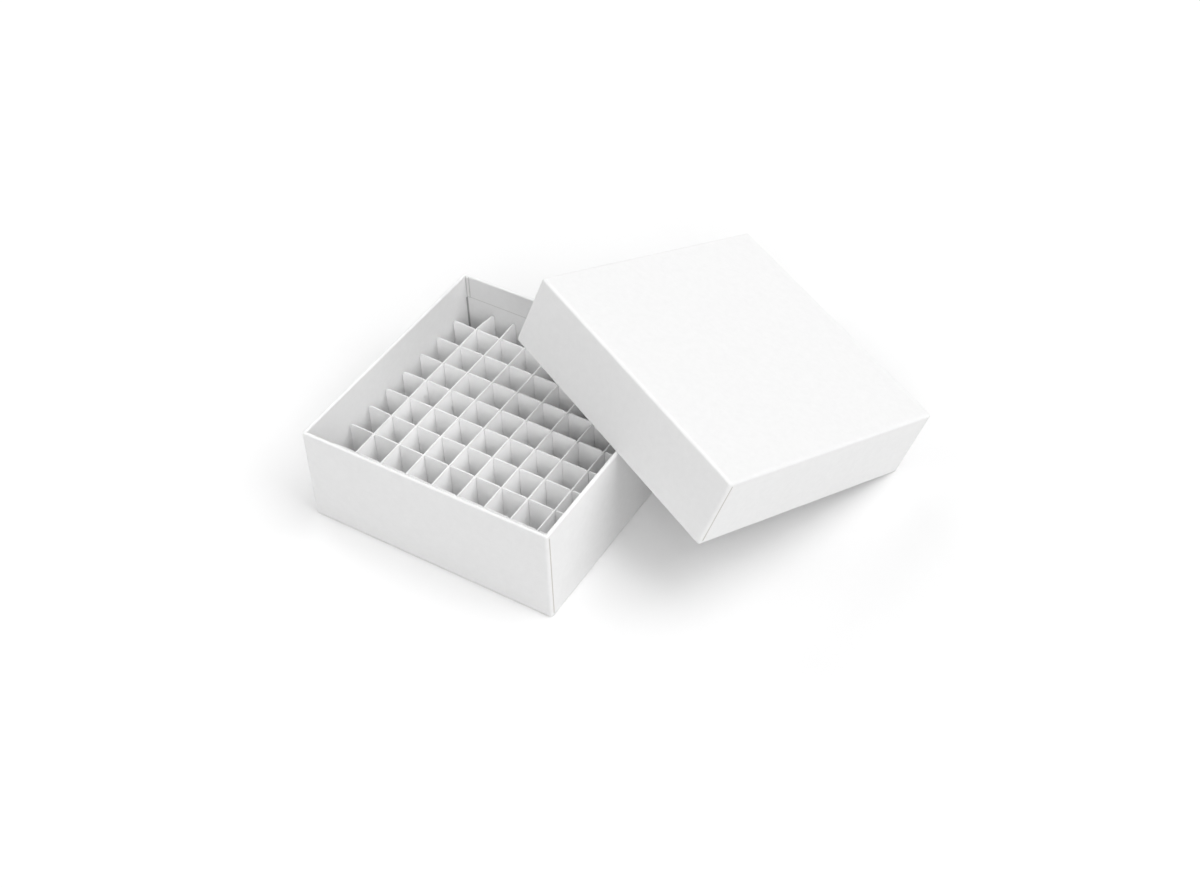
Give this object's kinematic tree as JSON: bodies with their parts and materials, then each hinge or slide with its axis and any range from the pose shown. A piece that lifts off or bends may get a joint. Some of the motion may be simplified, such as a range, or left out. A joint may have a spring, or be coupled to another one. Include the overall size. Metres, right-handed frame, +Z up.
{
  "type": "cardboard freezer box",
  "caption": "Square white cardboard storage box with a slotted card divider for small vials, its lift-off lid leaning on one corner of the tray.",
  "frame": {"origin": "centre of the tray's underside, on the floor", "axes": "+Z up out of the tray; +X along the tray's front wall towards the side where the lid leans; +Y from the front wall to the far wall"},
  "size_m": [0.2306, 0.2135, 0.1003],
  "materials": {
    "cover_paper": "smooth white coated paper, satin",
    "box_board": "white-lined board, matte",
    "divider_card": "white card, matte"
  },
  "bodies": {
    "root": {"tray_board": "box_board", "tray_wrap": "cover_paper", "lid_board": "box_board", "lid_wrap": "cover_paper", "divider_x_1": "divider_card", "divider_x_2": "divider_card", "divider_x_3": "divider_card", "divider_x_4": "divider_card", "divider_x_5": "divider_card", "divider_x_6": "divider_card", "divider_x_7": "divider_card", "divider_x_8": "divider_card", "divider_y_1": "divider_card", "divider_y_2": "divider_card", "divider_y_3": "divider_card", "divider_y_4": "divider_card", "divider_y_5": "divider_card", "divider_y_6": "divider_card", "divider_y_7": "divider_card", "divider_y_8": "divider_card"}
  },
  "joints": []
}
